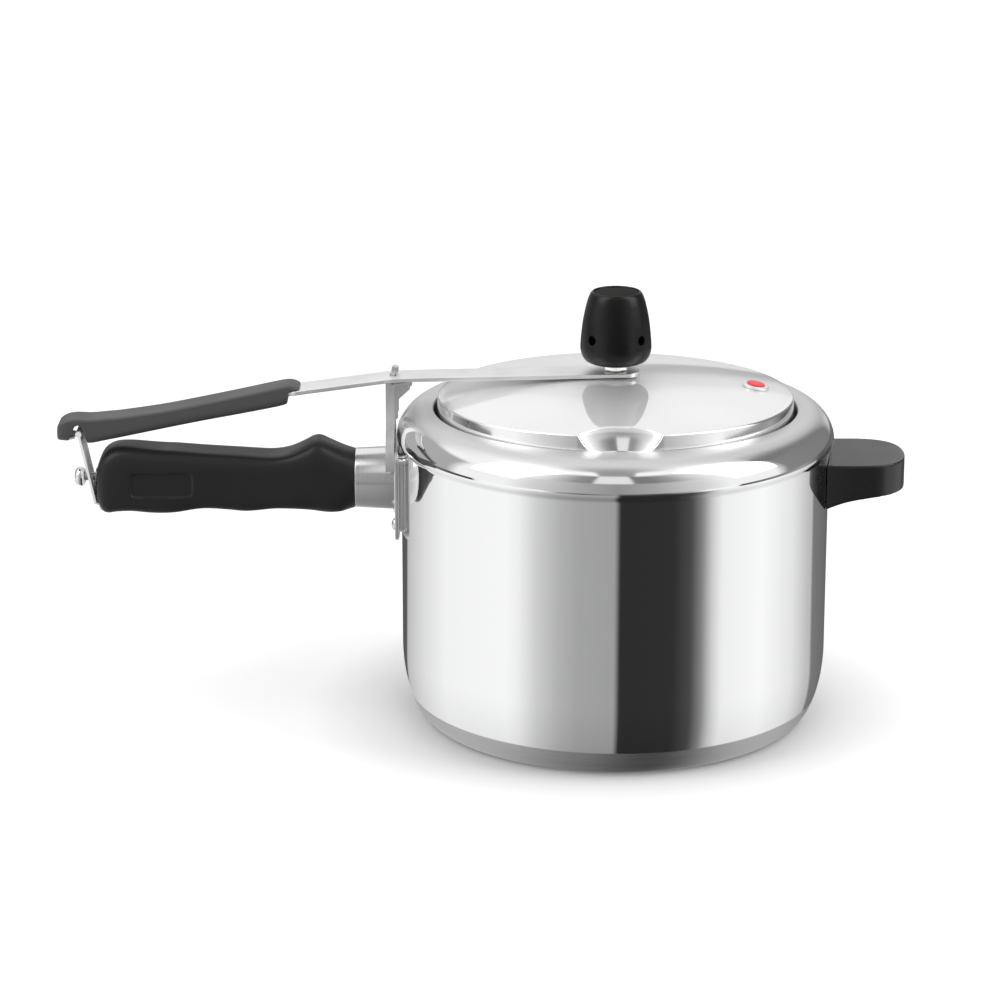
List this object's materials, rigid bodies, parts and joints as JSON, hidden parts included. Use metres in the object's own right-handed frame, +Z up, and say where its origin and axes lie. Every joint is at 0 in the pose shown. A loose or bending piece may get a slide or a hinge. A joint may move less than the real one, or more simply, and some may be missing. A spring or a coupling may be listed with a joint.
{
  "type": "stovetop pressure cooker",
  "caption": "Polished aluminium pressure cooker with an oval inner lid, a lever that pulls it shut, a sprung latch, a weight valve and two black grips.",
  "frame": {"origin": "centre of the flat base, on the pot's axis, at the surface that it stands on", "axes": "+X along the handles towards the small side grip, -X towards the long grip, -Y to the front with the lid's finger scoop, +Z up"},
  "size_m": [0.4036, 0.2084, 0.208],
  "materials": {
    "polished_aluminium": "mirror polished, satin band round the base",
    "polished_steel": "polished",
    "brushed_steel": "brushed",
    "dull_steel": "plain plated",
    "brass": "turned",
    "black_grip": "satin",
    "grey_grip": "matt",
    "black_weight": "satin",
    "grey_rubber": "matt",
    "red_silicone": "satin"
  },
  "bodies": {
    "pot": {"pot_shell": "polished_aluminium", "backing_plate": "brushed_steel", "handle_plate": "brushed_steel", "plate_rivets": "polished_steel", "ferrule": "brushed_steel", "bolt_boss": "dull_steel", "tie_bolt": "dull_steel", "lower_grip": "black_grip", "end_washer": "polished_steel", "end_nut": "polished_steel", "latch_knob": "polished_steel", "latch_pin": "dull_steel", "latch_spring": "dull_steel", "fulcrum_bracket": "brushed_steel", "fulcrum_pin": "brushed_steel", "side_bracket": "dull_steel", "side_rivets": "polished_steel", "side_grip": "black_grip", "side_screw": "dull_steel"},
    "lever": {"lever_arm": "polished_steel", "fulcrum_saddle": "brushed_steel", "upper_grip": "grey_grip", "grip_screws": "polished_steel", "catch_plate": "polished_steel"},
    "latch": {"latch_strip": "polished_steel"},
    "lid": {"lid_dish": "polished_aluminium", "gasket": "grey_rubber", "vent_pipe": "brass", "vent_washer": "red_silicone", "hub_nut": "polished_steel", "vent_screen": "dull_steel", "safety_collar": "polished_steel", "safety_nut": "dull_steel", "safety_plug": "red_silicone"},
    "weight": {"weight_cap": "black_weight", "weight_core": "polished_steel", "weight_disc": "black_weight"}
  },
  "joints": [
    {"name": "lever_release", "type": "hinge", "parent": "pot", "child": "lever", "pos_m": [-0.0996, 0, 0.163], "axis": [0, 1, 0], "range_deg": [0, 4.5]},
    {"name": "latch_swing", "type": "hinge", "parent": "pot", "child": "latch", "pos_m": [-0.2445, 0, 0.104], "axis": [0, 1, 0], "range_deg": [0, 6.4], "deforming": ["latch_spring"]},
    {"name": "lid_level", "type": "hinge", "parent": "lever", "child": "lid", "pos_m": [0, 0, 0.1687], "axis": [0, 1, 0], "range_deg": [-4.6, 0]},
    {"name": "weight_lift", "type": "slide", "parent": "lid", "child": "weight", "axis": [0, 0, 1], "range_m": [0, 0.03]}
  ],
  "couplings": [
    {"joint": "latch_swing", "follows": "lever_release", "ratio": 1.4},
    {"joint": "lid_level", "follows": "lever_release", "ratio": -1}
  ]
}
